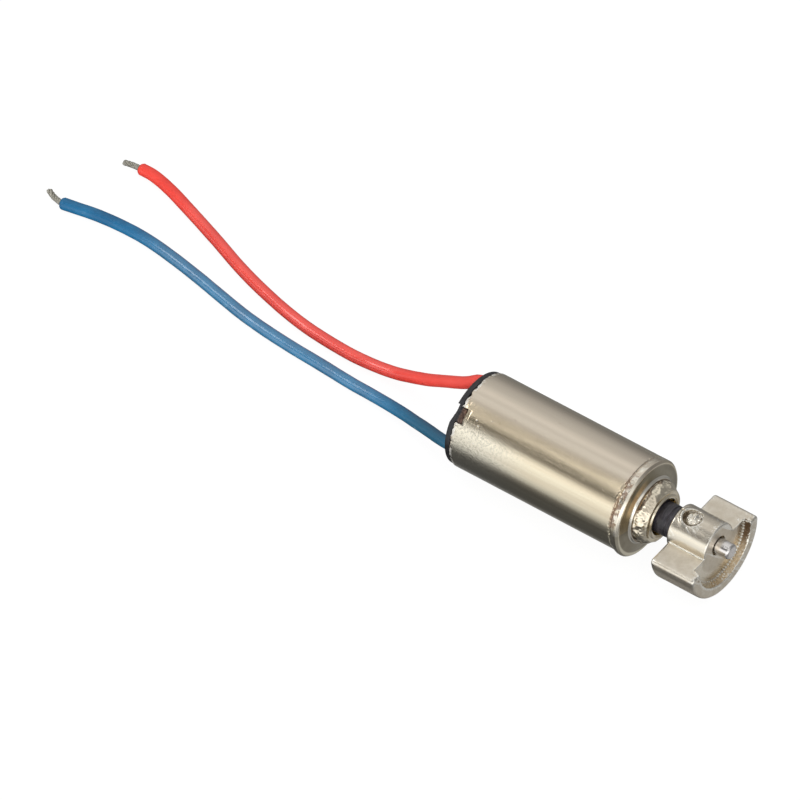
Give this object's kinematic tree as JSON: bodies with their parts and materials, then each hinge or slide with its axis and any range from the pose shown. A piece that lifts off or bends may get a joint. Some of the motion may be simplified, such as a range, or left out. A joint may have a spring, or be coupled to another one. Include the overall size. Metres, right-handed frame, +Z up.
{
  "type": "cylindrical vibration motor",
  "caption": "Small cylindrical vibration motor: drawn steel can with a bearing neck, an eccentric half-disc weight on its shaft, and two thin flying leads.",
  "frame": {"origin": "on the surface that the motor lies on, where the eccentric weight touches it, under the middle of the motor's length without its leads", "axes": "+X along the shaft, out of the front of the motor; +Y to the left seen from behind; +Z up, away from the surface"},
  "size_m": [0.0512, 0.0107, 0.0062],
  "materials": {
    "nickel_can": "satin, nickel plated",
    "tungsten_weight": "satin, sintered",
    "shaft_steel": "polished",
    "bearing_bronze": "matt, sintered",
    "sleeve_brass": "satin",
    "contact_alloy": "satin",
    "copper_winding": "enamelled wire",
    "magnet_nickel": "satin",
    "black_plastic": "matt, moulded",
    "cream_plastic": "matt, moulded",
    "solder": "bright",
    "tinned_wire": "dull, stranded",
    "red_pvc": "semi-gloss",
    "blue_pvc": "semi-gloss"
  },
  "bodies": {
    "stator": {"can": "nickel_can", "bearing_sleeve": "sleeve_brass", "front_bearing": "bearing_bronze", "rear_bearing": "bearing_bronze", "magnet": "magnet_nickel", "end_cap": "black_plastic", "terminal_positive": "contact_alloy", "brush_positive": "contact_alloy", "solder_joint_positive": "solder", "conductor_positive_in_cap": "tinned_wire", "terminal_negative": "contact_alloy", "brush_negative": "contact_alloy", "solder_joint_negative": "solder", "conductor_negative_in_cap": "tinned_wire", "lead_red": "red_pvc", "lead_red_tinned_end": "tinned_wire", "lead_blue": "blue_pvc", "lead_blue_tinned_end": "tinned_wire"},
    "rotor": {"shaft": "shaft_steel", "coil": "copper_winding", "coil_plate": "cream_plastic", "commutator_hub": "cream_plastic", "commutator_segment_1": "contact_alloy", "commutator_segment_2": "contact_alloy", "commutator_segment_3": "contact_alloy", "rear_thrust_washer": "cream_plastic", "front_thrust_washer": "cream_plastic", "shaft_spacer": "black_plastic", "eccentric_weight": "tungsten_weight"}
  },
  "joints": [
    {"name": "rotor_spin", "type": "hinge", "parent": "stator", "child": "rotor", "pos_m": [0.00331, 0, 0.00319], "axis": [1, 0, 0], "continuous": true}
  ]
}
